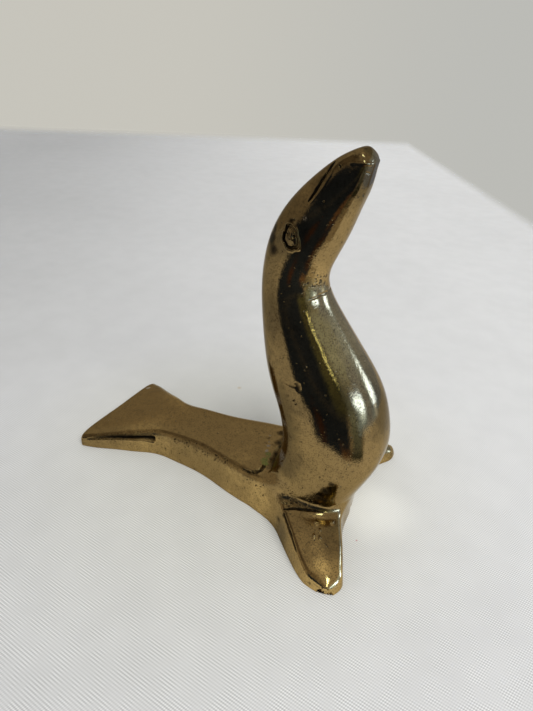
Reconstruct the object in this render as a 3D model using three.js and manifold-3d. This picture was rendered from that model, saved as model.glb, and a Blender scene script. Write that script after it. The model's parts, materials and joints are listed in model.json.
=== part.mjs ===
// Brass seal figurine: a small sitting seal with its nose raised, in six solid brass pieces
// that are keyed and brazed together at the creases of the figure.
// Millimetres, +Z up, nose towards +X, the seal's left towards +Y. The underside is ground
// flat at z = 0, and the origin lies there under the middle of the overall length and width.
//
// The body is three lofts. The upright one climbs from the foot of the chest through the neck
// to the nose, the hind one runs back along the table, and the tail fan spreads from the waist.
// A flipper is a thick tongue that is lofted from the shoulder out to its tip.

import * as THREE from 'three';
import { mergeVertices } from 'three/addons/utils/BufferGeometryUtils.js';
import Module from 'manifold-3d';

// Seats between the pieces
const seatGap = 0.3;
const keyLength = 6;
const keyPlay = 0.3;

// Main sizes of the upright body, from which its rings take theirs
const sittingHeight = 101.5;
const trunkWidth = 29.6;
const neckWidth = 16.2;
const headWidth = 15.2;
const muzzleWidth = 10.6;

// A length given in hundredths of the sitting height
const share = (hundredths) => hundredths * sittingHeight / 100;

// Upright loft, from the foot of the chest to the nose. Each ring stands square to the plane
// of symmetry. It gives the points of its back and its front, as reach forward of the crease of
// the back and height over the table, in hundredths of the sitting height. Squareness is the
// power of the ring's superellipse, 2 being a plain ellipse.
const uprightRings = [
  { name: 'foot', back: [0, -3], front: [24.2, -3], width: trunkWidth * 0.986, squareness: 2.8 },
  { name: 'belly', back: [0, 5.9], front: [25.8, 4.9], width: trunkWidth, squareness: 2.8 },
  { name: 'armpit', back: [2.6, 13.8], front: [28.3, 12.8], width: trunkWidth, squareness: 2.7 },
  { name: 'loin', back: [4.7, 22.7], front: [32.1, 22.7], width: trunkWidth * 0.986, squareness: 2.5 },
  { name: 'chest', back: [2.9, 32.5], front: [31.7, 32.5], width: trunkWidth * 0.96, squareness: 2.3 },
  { name: 'breast', back: [-1, 41.4], front: [28.8, 41.4], width: trunkWidth * 0.892, squareness: 2.2 },
  {
    name: 'shoulder',
    back: [-3.5, 50.2],
    front: [23.3, 49.8],
    width: trunkWidth * 0.51 + neckWidth * 0.5,
    squareness: 2.1,
  },
  { name: 'neck', back: [-4.8, 59.1], front: [16.2, 59.1], width: neckWidth * 1.2, squareness: 2.05 },
  { name: 'throat', back: [-5.3, 67.5], front: [11.5, 67.5], width: neckWidth, squareness: 2.05 },
  { name: 'cheek', back: [-4.1, 76.8], front: [12.8, 74.4], width: headWidth * 1.01, squareness: 2.05 },
  { name: 'eye', back: [-0.6, 84.7], front: [15.4, 80.8], width: headWidth, squareness: 2.2 },
  { name: 'brow', back: [4.6, 91.2], front: [17.5, 87.3], width: headWidth * 0.87, squareness: 2.5 },
  { name: 'muzzle', back: [10, 96.2], front: [19, 92.2], width: muzzleWidth, squareness: 2.8 },
  { name: 'snout', back: [14.2, 99], front: [19.6, 95.8], width: muzzleWidth * 0.77, squareness: 2.9 },
  { name: 'nose', back: [16.7, 100], front: [19.6, 97.9], width: muzzleWidth * 0.49, squareness: 2.5 },
  { name: 'tip', back: [17.7, 100], front: [18.7, 99.4], width: muzzleWidth * 0.11, squareness: 2 },
].map(({ back, front, ...rest }) => ({ back: back.map(share), front: front.map(share), ...rest }));

// Eyes: an oval ball left standing in a ring-shaped groove
const eyeReach = share(4.7);
const eyeHeight = share(80.5);
const eyeLength = 4;
const eyeOpening = 5.4;
const eyeGrooveWidth = 0.8;
const eyeGrooveDepth = 0.5;

// Mouth: a slit along each cheek. The points are reach forward of the crease of the back,
// distance from the plane of symmetry and height.
const mouthFront = [share(11.8), muzzleWidth * 0.32, share(96.5)];
const mouthCorner = [share(7.8), headWidth * 0.43, share(88.6)];
const mouthFrontWidth = 0.9;
const mouthCornerWidth = 0.5;
const mouthDepth = 0.7;
const cheekNormal = [-0.34, 0.81, 0.48];

// Hind loft, from the waist to inside the chest
const hindLength = 39.1;
const waistHeight = 10;
const waistWidth = 19;
const loinHeight = 11.8;
const loinWidth = 20.6;
const rumpHeight = 13;
const rumpWidth = trunkWidth * 0.96;
const flankSeatReach = 6.6;

// Tail fan, from the waist to its trailing edge
const fanLength = 23.8;
const fanSpan = 38.8;
const fanEdgeHeight = 4.8;
const fanGrooveDepth = 1.3;
const fanGrooveFloor = 3.8;
const fanGrooveHeight = 3.6;

// Flippers. Reach forward is of the crease of the back, spread is out from the side of the
// trunk, both to the tip. A station gives its rear and its front edge on the table and the
// height of its top at both edges, in hundredths of these. The rear and the front wall lean
// inwards by a share of their height.
const flipperForward = 33.8;
const flipperSpread = 15.8;
const flipperHeight = 9;
const flipperCrown = 0.9;
const flipperWallLean = 0.14;
const leftFlipperSetBack = 2.6;
const leftFlipperHollow = 4.8;
const leftFlipperExtraSpread = 2;
const flipperPlace = ([forward, out]) => (
  [forward * flipperForward / 100, trunkWidth / 2 + out * flipperSpread / 100]);
const flipperStations = [
  { rear: [10.4, -33.5], front: [76.9, -81], rearTop: 100, frontTop: 108 },
  { rear: [26, 8.9], front: [79.9, -44.3], rearTop: 99, frontTop: 105 },
  { rear: [42, 43], front: [85.8, -8.2], rearTop: 88, frontTop: 93 },
  { rear: [57.8, 72.8], front: [93.2, 26.6], rearTop: 64, frontTop: 70 },
  { rear: [69.2, 91.1], front: [98.4, 55.7], rearTop: 45, frontTop: 50 },
  { rear: [79, 98.7], front: [100, 79.7], rearTop: 29, frontTop: 33 },
  { rear: [85.2, 100], front: [97.4, 92.7], rearTop: 21, frontTop: 22 },
].map(({ rear, front, rearTop, frontTop }) => ({
  rear: flipperPlace(rear),
  front: flipperPlace(front),
  rearTop: rearTop * flipperHeight / 100,
  frontTop: frontTop * flipperHeight / 100,
}));

// Keys: the head has a round spigot, every other piece a flat tongue
const spigotDiameter = 6;
const hindKeyWidth = 10;
const hindKeyHeight = 5;
const fanKeyWidth = 8;
const fanKeyHeight = 3;
const flipperKeyWidth = 6;
const flipperKeyHeight = 4;
const keyFloor = 2.6;

// The throat seat runs from the crease under the chin down to the nape
const throatSeat = { front: [share(12.2), share(68.6)], back: [share(-5.9), share(62.6)] };

// Facets
const ringPoints = 44;
const uprightSteps = 60;
const hindPoints = 40;
const hindSteps = 18;
const fanSteps = 7;
const flipperSteps = 16;
const flipperTopPoints = 12;
const spigotFacets = 24;
const eyeFacets = 24;

const creaseReach = fanLength + hindLength;

const wasm = await Module();
wasm.setup();

// A natural cubic spline through rows of numbers, one row per knot
function splineThrough(knots, rows) {
  const last = knots.length - 1;
  const width = rows[0].length;
  const bends = rows.map(() => new Array(width).fill(0));
  const upper = new Array(last + 1).fill(0);
  for (let i = 1; i < last; i++) {
    const before = knots[i] - knots[i - 1];
    const after = knots[i + 1] - knots[i];
    const pivot = 2 * (before + after) - before * upper[i - 1];
    upper[i] = after / pivot;
    for (let k = 0; k < width; k++) {
      const rise = (rows[i + 1][k] - rows[i][k]) / after - (rows[i][k] - rows[i - 1][k]) / before;
      bends[i][k] = (6 * rise - before * bends[i - 1][k]) / pivot;
    }
  }
  for (let i = last - 1; i > 0; i--) {
    for (let k = 0; k < width; k++) bends[i][k] -= upper[i] * bends[i + 1][k];
  }
  return (t) => {
    let i = 0;
    while (i < last - 1 && t > knots[i + 1]) i++;
    const span = knots[i + 1] - knots[i];
    const a = (knots[i + 1] - t) / span;
    const b = (t - knots[i]) / span;
    return rows[i].map((value, k) => a * value + b * rows[i + 1][k]
      + ((a ** 3 - a) * bends[i][k] + (b ** 3 - b) * bends[i + 1][k]) * span ** 2 / 6);
  };
}

// Knots whose spacing is the distance between neighbouring points
function chordKnots(points) {
  const knots = [0];
  for (let i = 1; i < points.length; i++) {
    const step = Math.hypot(points[i][0] - points[i - 1][0], points[i][1] - points[i - 1][1]);
    knots.push(knots[i - 1] + Math.max(step, 1.2));
  }
  return knots;
}

function signedPower(value, power) {
  return Math.sign(value) * Math.abs(value) ** power;
}

function solidFrom(geometry) {
  const bare = geometry.clone();
  bare.deleteAttribute('normal');
  bare.deleteAttribute('uv');
  const merged = mergeVertices(bare, 1e-5);
  return new wasm.Manifold(new wasm.Mesh({
    numProp: 3,
    vertProperties: new Float32Array(merged.attributes.position.array),
    triVerts: new Uint32Array(merged.index.array),
  }));
}

// A closed solid through rings of points, with a fan of faces over each end
function loft(rings) {
  const count = rings[0].length;
  const middle = (ring) => ring.reduce((sum, p) => sum.add(p), new THREE.Vector3())
    .divideScalar(count);
  const points = [...rings.flat(), middle(rings[0]), middle(rings[rings.length - 1])];
  const startHub = points.length - 2;
  const endHub = points.length - 1;
  const endRing = (rings.length - 1) * count;
  const faces = [];
  for (let j = 0; j < count; j++) {
    const k = (j + 1) % count;
    for (let i = 0; i < rings.length - 1; i++) {
      const here = i * count;
      const next = here + count;
      faces.push(here + j, here + k, next + k, here + j, next + k, next + j);
    }
    faces.push(startHub, k, j, endHub, endRing + j, endRing + k);
  }
  const geometry = new THREE.BufferGeometry();
  geometry.setAttribute('position', new THREE.Float32BufferAttribute(
    points.flatMap((p) => [p.x, p.y, p.z]), 3));
  geometry.setIndex(volumeOf(points, faces) > 0 ? faces : faces.reverse());
  return solidFrom(geometry);
}

function volumeOf(points, faces) {
  let volume = 0;
  for (let f = 0; f < faces.length; f += 3) {
    const [a, b, c] = [points[faces[f]], points[faces[f + 1]], points[faces[f + 2]]];
    volume += a.dot(new THREE.Vector3().crossVectors(b, c)) / 6;
  }
  return volume;
}

// A box between two corners, moved and turned by a matrix if one is given
function block(low, high, place = new THREE.Matrix4()) {
  const size = high.map((value, k) => value - low[k]);
  const centre = high.map((value, k) => (value + low[k]) / 2);
  const box = new THREE.BoxGeometry(...size).translate(...centre).applyMatrix4(place);
  return solidFrom(box);
}

// Only the largest body, for cuts that leave a loose sliver on the far side of a neighbour
function mainBody(solid) {
  return solid.decompose().reduce((a, b) => (a.volume() > b.volume() ? a : b));
}

// The upright loft, grown all round by a margin
const uprightKnots = chordKnots(uprightRings.map(({ back, front }) => (
  [(back[0] + front[0]) / 2, (back[1] + front[1]) / 2])));
const uprightAt = splineThrough(uprightKnots, uprightRings.map((ring) => (
  [...ring.back, ...ring.front, ring.width / 2, ring.squareness])));

function uprightLoft(margin = 0) {
  const rings = [];
  for (let i = 0; i <= uprightSteps; i++) {
    const t = uprightKnots[uprightKnots.length - 1] * i / uprightSteps;
    const [backX, backZ, frontX, frontZ, half, squareness] = uprightAt(t);
    const depth = Math.hypot(frontX - backX, frontZ - backZ) / 2;
    const grown = 1 + margin / depth;
    const ring = [];
    for (let j = 0; j < ringPoints; j++) {
      const turn = 2 * Math.PI * j / ringPoints;
      const along = grown * signedPower(Math.cos(turn), 2 / squareness) / 2;
      ring.push(new THREE.Vector3(
        creaseReach + (backX + frontX) / 2 + (frontX - backX) * along,
        (half + margin) * signedPower(Math.sin(turn), 2 / squareness),
        (backZ + frontZ) / 2 + (frontZ - backZ) * along,
      ));
    }
    rings.push(ring);
  }
  return loft(rings);
}

// A slab with near upright sides and tight top edges, lofted through rows of
// [distance from the trailing edge, height, half width]
function slabLoft(rows, steps, squareness, margin = 0) {
  const slabAt = splineThrough(rows.map(([x]) => x), rows);
  const first = rows[0][0];
  const last = rows[rows.length - 1][0];
  const rings = [];
  for (let i = 0; i <= steps; i++) {
    const [x, height, half] = slabAt(first + (last - first) * i / steps);
    const ring = [];
    for (let j = 0; j < hindPoints; j++) {
      const turn = 2 * Math.PI * (j + 0.5) / hindPoints;
      ring.push(new THREE.Vector3(
        x,
        (half + margin) * signedPower(Math.cos(turn), 2 / squareness),
        (height + margin) * signedPower(Math.sin(turn), 2 / squareness),
      ));
    }
    rings.push(ring);
  }
  return loft(rings);
}

const slabSquareness = 6;

function hindLoft(margin = 0) {
  const rows = [
    [fanLength, waistHeight, waistWidth / 2],
    [fanLength + hindLength * 0.24, waistHeight * 0.4 + loinHeight * 0.6, waistWidth * 0.51],
    [fanLength + hindLength * 0.49, loinHeight, loinWidth / 2],
    [fanLength + hindLength * 0.77, (loinHeight + rumpHeight) / 2, (loinWidth + rumpWidth) * 0.26],
    [fanLength + hindLength * 1.03, rumpHeight, rumpWidth / 2],
    [fanLength + hindLength * 1.23, rumpHeight * 1.015, rumpWidth * 0.517],
  ];
  return slabLoft(rows, hindSteps, slabSquareness, margin);
}

function fanLoft() {
  const climb = (part) => fanEdgeHeight + (waistHeight - fanEdgeHeight) * part;
  const rows = [
    [0, fanEdgeHeight, fanSpan / 2],
    [fanLength * 0.21, climb(0.21), fanSpan * 0.461],
    [fanLength * 0.46, climb(0.46), fanSpan * 0.394],
    [fanLength * 0.75, climb(0.77), fanSpan * 0.322],
    [fanLength, waistHeight, waistWidth * 0.505],
  ];
  return slabLoft(rows, fanSteps, slabSquareness);
}

// The wedge groove along a side of the fan, nothing at the corner and deepest at the waist
function fanGroove(side) {
  const corner = new THREE.Vector3(1.5, side * (fanSpan / 2), fanEdgeHeight / 2);
  const wedge = (x, reach, low, high) => [
    new THREE.Vector3(x, side * (reach + 3), low),
    new THREE.Vector3(x, side * (reach - fanGrooveDepth), (low + high) / 2 + 0.8),
    new THREE.Vector3(x, side * (reach + 3), high + 1.2),
  ];
  const waist = wedge(fanLength + 1, waistWidth / 2, fanGrooveFloor,
    fanGrooveFloor + fanGrooveHeight);
  const start = waist.map(() => corner.clone());
  start.forEach((point, k) => point.add(new THREE.Vector3(0, side * 0.4 * (k !== 1), 0.2 * k)));
  return loft([start, waist]);
}

const flipperKnots = chordKnots(flipperStations.map(({ rear, front }) => (
  [(rear[0] + front[0]) / 2, (rear[1] + front[1]) / 2])));
const flipperAt = splineThrough(flipperKnots, flipperStations.map((station) => (
  [...station.rear, ...station.front, station.rearTop, station.frontTop])));

// A flipper: a steep wall behind, a crowned top and a steep wall in front. The side is -1
// for the seal's right. A flipper can be set back at its tip, have its front edge hollowed
// between the root and the tip, and reach further out.
function flipperLoft(side, setBack, hollow, extraSpread) {
  const reach = flipperStations[flipperStations.length - 1].rear[1];
  const at = (x, y, z) => {
    const outward = y / reach;
    return new THREE.Vector3(
      creaseReach + x - setBack * outward,
      side * (y + extraSpread * outward),
      z,
    );
  };
  const rings = [];
  for (let i = 0; i <= flipperSteps; i++) {
    const t = flipperKnots[flipperKnots.length - 1] * i / flipperSteps;
    const [rearX, rearY, fullX, frontY, rearTop, frontTop] = flipperAt(t);
    const frontX = fullX - hollow * Math.sin(Math.PI * Math.min(frontY / reach, 1));
    const chord = Math.hypot(frontX - rearX, frontY - rearY);
    const rearLean = flipperWallLean * rearTop / chord;
    const frontLean = flipperWallLean * frontTop / chord;
    const ring = [at(rearX, rearY, -1), at(rearX, rearY, 0)];
    for (let j = 0; j <= flipperTopPoints; j++) {
      const across = rearLean + (1 - rearLean - frontLean) * j / flipperTopPoints;
      const crown = flipperCrown * (1 - (2 * j / flipperTopPoints - 1) ** 2);
      ring.push(at(
        THREE.MathUtils.lerp(rearX, frontX, across),
        THREE.MathUtils.lerp(rearY, frontY, across),
        THREE.MathUtils.lerp(rearTop, frontTop, across) + crown,
      ));
    }
    ring.push(at(frontX, frontY, 0), at(frontX, frontY, -1));
    rings.push(ring);
  }
  return loft(rings);
}

// The ring-shaped groove round an eye, which follows the bulge of the head
function eyeGroove(side, head) {
  const oval = (margin) => {
    const post = new THREE.CylinderGeometry(1, 1, headWidth, eyeFacets);
    post.scale(eyeLength / 2 + margin, 1, eyeOpening / 2 + margin);
    post.translate(creaseReach + eyeReach, side * headWidth / 2, eyeHeight);
    return solidFrom(post);
  };
  return oval(eyeGrooveWidth)
    .subtract(oval(0))
    .subtract(head.translate([0, -side * eyeGrooveDepth, 0]));
}

// The slit of the mouth on one cheek, a wedge that narrows towards its corner
function mouthSlit(side) {
  const place = ([reach, out, height]) => (
    new THREE.Vector3(creaseReach + reach, side * out, height));
  const front = place(mouthFront);
  const corner = place(mouthCorner);
  const along = corner.clone().sub(front).normalize();
  const outward = new THREE.Vector3(cheekNormal[0], side * cheekNormal[1], cheekNormal[2]);
  outward.addScaledVector(along, -outward.dot(along)).normalize();
  const across = along.clone().cross(outward);
  const wedge = (point, width) => [
    point.clone().addScaledVector(outward, -mouthDepth),
    point.clone().addScaledVector(outward, mouthDepth).addScaledVector(across, width),
    point.clone().addScaledVector(outward, mouthDepth).addScaledVector(across, -width),
  ];
  return loft([wedge(front, mouthFrontWidth), wedge(corner, mouthCornerWidth)]);
}

// Everything over the table
const roomSize = 400;
const overTable = block([-roomSize, -roomSize, 0], [roomSize, roomSize, roomSize]);

// The half space on one side of the throat seat, set off by half the gap
function besideThroat(above) {
  const [frontX, frontZ] = throatSeat.front;
  const [backX, backZ] = throatSeat.back;
  const slope = Math.atan2(frontZ - backZ, frontX - backX);
  const place = new THREE.Matrix4().makeTranslation(creaseReach + backX, 0, backZ)
    .multiply(new THREE.Matrix4().makeRotationY(-slope));
  const low = above ? seatGap / 2 : -roomSize;
  const high = above ? roomSize : -seatGap / 2;
  return block([-roomSize, -roomSize, low], [roomSize, roomSize, high], place);
}

// The head's spigot, square to the throat seat, or its socket with play
function throatSpigot(play) {
  const [frontX, frontZ] = throatSeat.front;
  const [backX, backZ] = throatSeat.back;
  const slope = Math.atan2(frontZ - backZ, frontX - backX);
  const length = 2 * keyLength + play;
  const pin = new THREE.CylinderGeometry(
    spigotDiameter / 2 + play, spigotDiameter / 2 + play, length, spigotFacets);
  pin.rotateX(Math.PI / 2).translate(0, 0, (2 * keyLength - length) / 2);
  pin.rotateY(-slope);
  pin.translate(creaseReach + (frontX + backX) / 2, 0, (frontZ + backZ) / 2);
  return solidFrom(pin);
}

// A tongue that reaches keyLength into its neighbour, or its pocket with play. It starts as
// far back in its own piece, at distance `from` along the given matrix's X axis.
function tongue(from, width, height, play, place) {
  return block(
    [from - keyLength, -width / 2 - play, keyFloor - play],
    [from + keyLength + play, width / 2 + play, keyFloor + height + play],
    place,
  );
}

function hindTongue(play) {
  return tongue(creaseReach + 1, hindKeyWidth, hindKeyHeight, play);
}

function fanTongue(play) {
  return tongue(fanLength, fanKeyWidth, fanKeyHeight, play);
}

// A flipper's tongue points from the middle of the flipper towards the middle of the chest
function flipperTongue(side, play) {
  const middle = flipperStations[2];
  const outer = [
    creaseReach + (middle.rear[0] + middle.front[0]) / 2,
    side * (middle.rear[1] + middle.front[1]) / 2,
  ];
  const inner = [creaseReach + share(13.8), side * trunkWidth * 0.17];
  const turn = Math.atan2(inner[1] - outer[1], inner[0] - outer[0]);
  const place = new THREE.Matrix4().makeTranslation(outer[0], outer[1], 0)
    .multiply(new THREE.Matrix4().makeRotationZ(turn));
  return tongue(keyLength / 2, flipperKeyWidth, flipperKeyHeight, play, place);
}

function makePieces() {
  const upright = uprightLoft();
  const hind = hindLoft();
  const aroundUpright = uprightLoft(seatGap);
  const aroundHind = hindLoft(seatGap);

  const flankSeat = creaseReach + flankSeatReach;
  const beforeFlank = block([flankSeat, -roomSize, -1], [roomSize, roomSize, roomSize]);
  const behindFlank = block([-roomSize, -roomSize, -1], [flankSeat - seatGap, roomSize, roomSize]);
  const beforeWaist = block([fanLength + seatGap, -roomSize, -1], [roomSize, roomSize, roomSize]);

  const headAndNeck = upright.intersect(besideThroat(true))
    .subtract(eyeGroove(1, upright))
    .subtract(eyeGroove(-1, upright))
    .subtract(mouthSlit(1))
    .subtract(mouthSlit(-1))
    .add(throatSpigot(0));

  const chest = upright.intersect(besideThroat(false))
    .add(hind.intersect(beforeFlank))
    .subtract(throatSpigot(keyPlay))
    .subtract(hindTongue(keyPlay))
    .subtract(flipperTongue(-1, keyPlay))
    .subtract(flipperTongue(1, keyPlay))
    .intersect(overTable);

  const hindBody = mainBody(hind.intersect(behindFlank)
    .intersect(beforeWaist)
    .subtract(aroundUpright)
    .add(hindTongue(0))
    .subtract(fanTongue(keyPlay))
    .intersect(overTable));

  const tailFan = fanLoft()
    .subtract(fanGroove(1))
    .subtract(fanGroove(-1))
    .add(fanTongue(0))
    .intersect(overTable);

  const flipper = (side, ...shape) => mainBody(flipperLoft(side, ...shape)
    .subtract(aroundUpright)
    .subtract(aroundHind)
    .add(flipperTongue(side, 0))
    .intersect(overTable));

  return {
    head_and_neck: headAndNeck,
    chest_and_shoulders: chest,
    hind_body: hindBody,
    tail_fan: tailFan,
    front_flipper_right: flipper(-1, 0, 0, 0),
    front_flipper_left: flipper(1, leftFlipperSetBack, leftFlipperHollow, leftFlipperExtraSpread),
  };
}

function brass(colour, roughness) {
  return new THREE.MeshStandardMaterial({ color: colour, metalness: 1, roughness });
}

const finishes = {
  head_and_neck: brass(0x9c7a45, 0.24),
  chest_and_shoulders: brass(0x9c7a45, 0.22),
  hind_body: brass(0x8d6d3f, 0.34),
  tail_fan: brass(0x7f6540, 0.4),
  front_flipper_right: brass(0xa9854a, 0.26),
  front_flipper_left: brass(0xa9854a, 0.26),
};

const pieces = makePieces();
const seal = new THREE.Group();
for (const [name, solid] of Object.entries(pieces)) {
  const { vertProperties, triVerts } = solid.getMesh();
  const geometry = new THREE.BufferGeometry();
  geometry.setAttribute('position', new THREE.BufferAttribute(vertProperties, 3));
  geometry.setIndex(new THREE.BufferAttribute(triVerts, 1));
  geometry.computeVertexNormals();
  const mesh = new THREE.Mesh(geometry, finishes[name]);
  mesh.name = name;
  seal.add(mesh);
}

// The origin goes under the middle of the length and the width
const bounds = new THREE.Box3().setFromObject(seal);
seal.position.set(-(bounds.min.x + bounds.max.x) / 2, -(bounds.min.y + bounds.max.y) / 2, 0);

export default seal;
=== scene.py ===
"""Looks of the brass seal figurine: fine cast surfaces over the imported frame, on a white cloth.

The surface is the zero level of a distance-like field in millimetres. The field joins the same
lofts as the solids with small fillets, and carves the eyes, the mouth, the creases and the dents.
"""

import json
import math

import bpy
import numpy as np
from mathutils import Matrix, Vector

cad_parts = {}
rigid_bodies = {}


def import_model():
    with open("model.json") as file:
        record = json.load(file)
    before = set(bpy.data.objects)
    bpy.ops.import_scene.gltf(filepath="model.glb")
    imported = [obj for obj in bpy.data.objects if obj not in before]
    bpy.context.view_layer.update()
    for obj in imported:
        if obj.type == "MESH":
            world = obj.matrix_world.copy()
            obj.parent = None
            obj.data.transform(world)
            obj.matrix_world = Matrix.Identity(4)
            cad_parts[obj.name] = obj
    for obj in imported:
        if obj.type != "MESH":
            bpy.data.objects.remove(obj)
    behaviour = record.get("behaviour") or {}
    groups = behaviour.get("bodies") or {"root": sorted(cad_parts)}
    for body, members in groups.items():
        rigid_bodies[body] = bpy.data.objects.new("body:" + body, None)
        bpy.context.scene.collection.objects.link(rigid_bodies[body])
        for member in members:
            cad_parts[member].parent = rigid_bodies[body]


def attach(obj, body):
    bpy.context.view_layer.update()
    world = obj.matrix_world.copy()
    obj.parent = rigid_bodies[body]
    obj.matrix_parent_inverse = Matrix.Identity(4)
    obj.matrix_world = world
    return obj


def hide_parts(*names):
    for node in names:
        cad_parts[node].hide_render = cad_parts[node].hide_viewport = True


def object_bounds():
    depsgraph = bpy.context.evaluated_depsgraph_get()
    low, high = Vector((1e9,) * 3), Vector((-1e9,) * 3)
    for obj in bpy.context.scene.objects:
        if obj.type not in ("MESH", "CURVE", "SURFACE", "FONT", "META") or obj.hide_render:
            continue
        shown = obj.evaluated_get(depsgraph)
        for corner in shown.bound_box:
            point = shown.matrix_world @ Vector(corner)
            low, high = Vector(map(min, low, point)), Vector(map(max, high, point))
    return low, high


for leftover in list(bpy.data.objects):
    bpy.data.objects.remove(leftover)
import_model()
cad_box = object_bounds()

MM = 0.001

# The lofts, as in the solids

FAN_LENGTH = 23.8
HIND_LENGTH = 39.1
TRAIL = cad_box[0][0] / MM
CREASE = TRAIL + FAN_LENGTH + HIND_LENGTH

SITTING_HEIGHT = 101.5
TRUNK_WIDTH = 29.6
NECK_WIDTH = 16.2
HEAD_WIDTH = 15.2
MUZZLE_WIDTH = 10.6

# Back reach and height, front reach and height, in hundredths of the sitting height, then
# width and squareness. Reaches are forward of the crease of the back.
UPRIGHT_RINGS = [
    (0, -3, 24.2, -3, TRUNK_WIDTH * 0.986, 2.8),
    (0, 5.9, 25.8, 4.9, TRUNK_WIDTH, 2.8),
    (2.6, 13.8, 28.3, 12.8, TRUNK_WIDTH, 2.7),
    (4.7, 22.7, 32.1, 22.7, TRUNK_WIDTH * 0.986, 2.5),
    (2.9, 32.5, 31.7, 32.5, TRUNK_WIDTH * 0.96, 2.3),
    (-1, 41.4, 28.8, 41.4, TRUNK_WIDTH * 0.892, 2.2),
    (-3.5, 50.2, 23.3, 49.8, TRUNK_WIDTH * 0.51 + NECK_WIDTH * 0.5, 2.1),
    (-4.8, 59.1, 16.2, 59.1, NECK_WIDTH * 1.2, 2.05),
    (-5.3, 67.5, 11.5, 67.5, NECK_WIDTH, 2.05),
    (-4.1, 76.8, 12.8, 74.4, HEAD_WIDTH * 1.01, 2.05),
    (-0.6, 84.7, 15.4, 80.8, HEAD_WIDTH, 2.2),
    (4.6, 91.2, 17.5, 87.3, HEAD_WIDTH * 0.87, 2.5),
    (10, 96.2, 19, 92.2, MUZZLE_WIDTH, 2.8),
    (14.2, 99, 19.6, 95.8, MUZZLE_WIDTH * 0.77, 2.9),
    (16.7, 100, 19.6, 97.9, MUZZLE_WIDTH * 0.49, 2.5),
    (17.7, 100, 18.7, 99.4, MUZZLE_WIDTH * 0.11, 2),
]

WAIST_HEIGHT = 10
WAIST_WIDTH = 19
LOIN_HEIGHT = 11.8
LOIN_WIDTH = 20.6
RUMP_HEIGHT = 13
RUMP_WIDTH = TRUNK_WIDTH * 0.96
FAN_SPAN = 38.8
FAN_EDGE_HEIGHT = 4.8
FAN_RISE = WAIST_HEIGHT - FAN_EDGE_HEIGHT

# Distance from the trailing edge, height, half width
FAN_ROWS = [
    (0, FAN_EDGE_HEIGHT, FAN_SPAN / 2),
    (FAN_LENGTH * 0.21, FAN_EDGE_HEIGHT + FAN_RISE * 0.21, FAN_SPAN * 0.461),
    (FAN_LENGTH * 0.46, FAN_EDGE_HEIGHT + FAN_RISE * 0.46, FAN_SPAN * 0.394),
    (FAN_LENGTH * 0.75, FAN_EDGE_HEIGHT + FAN_RISE * 0.77, FAN_SPAN * 0.322),
    (FAN_LENGTH, WAIST_HEIGHT, WAIST_WIDTH * 0.505),
]
HIND_ROWS = [
    (FAN_LENGTH, WAIST_HEIGHT, WAIST_WIDTH / 2),
    (FAN_LENGTH + HIND_LENGTH * 0.24, WAIST_HEIGHT * 0.4 + LOIN_HEIGHT * 0.6, WAIST_WIDTH * 0.51),
    (FAN_LENGTH + HIND_LENGTH * 0.49, LOIN_HEIGHT, LOIN_WIDTH / 2),
    (FAN_LENGTH + HIND_LENGTH * 0.77, (LOIN_HEIGHT + RUMP_HEIGHT) / 2,
     (LOIN_WIDTH + RUMP_WIDTH) * 0.26),
    (FAN_LENGTH + HIND_LENGTH * 1.03, RUMP_HEIGHT, RUMP_WIDTH / 2),
    (FAN_LENGTH + HIND_LENGTH * 1.23, RUMP_HEIGHT * 1.015, RUMP_WIDTH * 0.517),
]

FLIPPER_FORWARD = 33.8
FLIPPER_SPREAD = 15.8
FLIPPER_HEIGHT = 9
FLIPPER_CROWN = 0.9
FLIPPER_LEAN = 0.14
# How far its edges are rounded behind, in front and at the tip
FLIPPER_REAR_EDGE = 1.3
FLIPPER_FRONT_EDGE = 1.5
FLIPPER_TIP_EDGE = 1.9
FLIPPER_REACH = TRUNK_WIDTH / 2 + FLIPPER_SPREAD
# The seal's middle plane. The far flipper reaches further out than the near one.
MIDDLE = cad_box[0][1] / MM + FLIPPER_REACH

# Rear forward and out, front forward and out, rear top and front top, in hundredths of the
# reach forward, the spread out from the trunk and the height
FLIPPER_STATIONS = [
    (10.4, -33.5, 76.9, -81, 100, 108),
    (26, 8.9, 79.9, -44.3, 99, 105),
    (42, 43, 85.8, -8.2, 88, 93),
    (57.8, 72.8, 93.2, 26.6, 64, 70),
    (69.2, 91.1, 98.4, 55.7, 45, 50),
    (79, 98.7, 100, 79.7, 29, 33),
    (85.2, 100, 97.4, 92.7, 21, 22),
]


class Spline:
    """A natural cubic spline through rows of numbers, with straight ends."""

    def __init__(self, knots, rows):
        self.knots = np.array(knots, float)
        self.rows = np.array(rows, float)
        count = len(knots)
        step = np.diff(self.knots)
        system = np.eye(count)
        right = np.zeros_like(self.rows)
        for i in range(1, count - 1):
            system[i, i - 1:i + 2] = step[i - 1], 2 * (step[i - 1] + step[i]), step[i]
            right[i] = 6 * (
                (self.rows[i + 1] - self.rows[i]) / step[i]
                - (self.rows[i] - self.rows[i - 1]) / step[i - 1]
            )
        self.bends = np.linalg.solve(system, right)

    def __call__(self, t):
        i = np.clip(np.searchsorted(self.knots, t) - 1, 0, len(self.knots) - 2)
        span = (self.knots[i + 1] - self.knots[i])[:, None]
        b = (t - self.knots[i])[:, None] / span
        a = 1 - b
        inner_a, inner_b = np.clip(a, 0, 1), np.clip(b, 0, 1)
        bend = (inner_a**3 - inner_a) * self.bends[i] + (inner_b**3 - inner_b) * self.bends[i + 1]
        return a * self.rows[i] + b * self.rows[i + 1] + bend * span**2 / 6


def chord_knots(points):
    step = np.linalg.norm(np.diff(np.array(points, float), axis=0), axis=1)
    return np.concatenate([[0], np.cumsum(np.maximum(step, 1.2))])


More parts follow.
